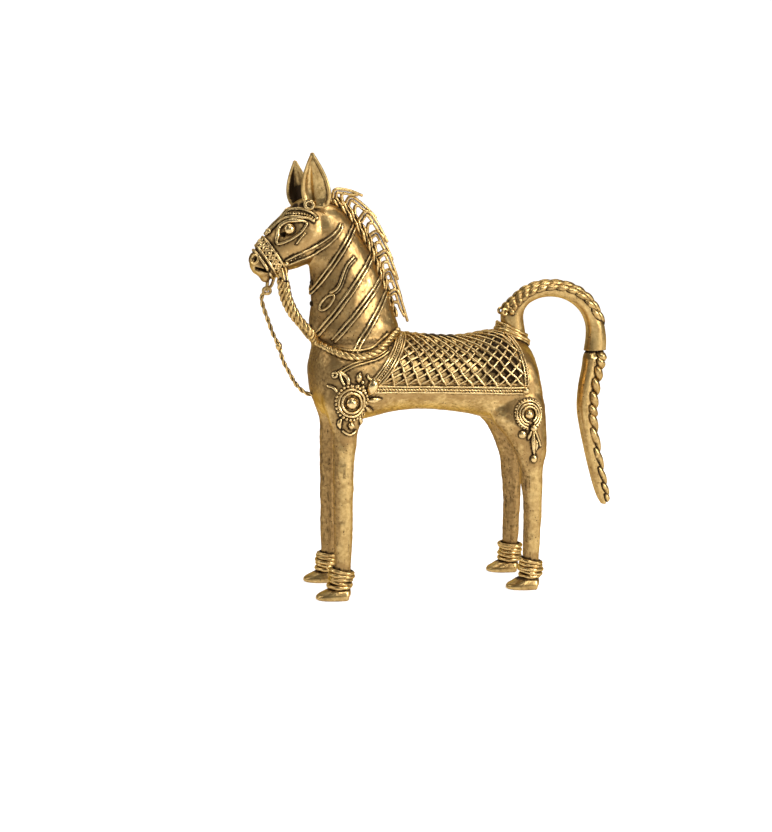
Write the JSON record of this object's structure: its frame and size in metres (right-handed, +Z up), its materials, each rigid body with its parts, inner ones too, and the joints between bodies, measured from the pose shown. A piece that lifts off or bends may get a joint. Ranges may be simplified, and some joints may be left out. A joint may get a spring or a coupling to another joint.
{
  "type": "horse figurine",
  "caption": "Cast brass horse figurine in lost-wax village style, standing on straight legs with a netted saddle cloth, rosettes, wrapped neck, loose reins and a curled tail.",
  "frame": {"origin": "on the ground under the middle of the figure's bounding box, between the four hooves", "axes": "+X runs from the head towards the tail, +Y points to the horse's right side, +Z is up"},
  "size_m": [0.1746, 0.0508, 0.2051],
  "materials": {
    "brass": "hand-polished casting with dark patina in the hollows",
    "worn_brass": "raised wires rubbed bright",
    "dark_brass": "netted surface with dark patina between the wires"
  },
  "bodies": {
    "root": {"body": "brass", "neck": "brass", "head": "brass", "ear_left": "brass", "ear_right": "brass", "ear_curl": "worn_brass", "anklet_front_left": "worn_brass", "anklet_front_right": "worn_brass", "anklet_hind_left": "worn_brass", "anklet_hind_right": "worn_brass", "brow_left": "worn_brass", "brow_right": "worn_brass", "cheek_strap_left": "worn_brass", "cheek_strap_right": "worn_brass", "crest_band": "worn_brass", "eye_left": "worn_brass", "eye_right": "worn_brass", "eye_rim_left": "worn_brass", "eye_rim_right": "worn_brass", "hip_pendant_left": "worn_brass", "hip_pendant_right": "worn_brass", "hip_rosette_left": "worn_brass", "hip_rosette_right": "worn_brass", "hoof_front_left": "brass", "hoof_front_right": "brass", "hoof_hind_left": "brass", "hoof_hind_right": "brass", "lead": "worn_brass", "leg_front_left": "brass", "leg_front_right": "brass", "leg_hind_left": "brass", "leg_hind_right": "brass", "mane_lock_1": "worn_brass", "mane_lock_2": "worn_brass", "mane_lock_3": "worn_brass", "mane_lock_4": "worn_brass", "mane_lock_5": "worn_brass", "mane_lock_6": "worn_brass", "mane_lock_7": "worn_brass", "muzzle_wire": "worn_brass", "neck_leaf_left": "brass", "neck_leaf_right": "brass", "neck_wrap_1": "brass", "neck_wrap_2": "brass", "neck_wrap_3": "brass", "neck_wrap_4": "brass", "noseband": "worn_brass", "rein_left": "worn_brass", "rein_right": "worn_brass", "saddle_border_front": "worn_brass", "saddle_border_left": "worn_brass", "saddle_border_rear_left": "worn_brass", "saddle_border_rear_right": "worn_brass", "saddle_border_right": "worn_brass", "saddle_cloth": "dark_brass", "shoulder_rosette_left": "worn_brass", "shoulder_rosette_right": "worn_brass", "tail_collar": "worn_brass", "tail_dock": "brass", "tail_switch": "brass"}
  },
  "joints": []
}
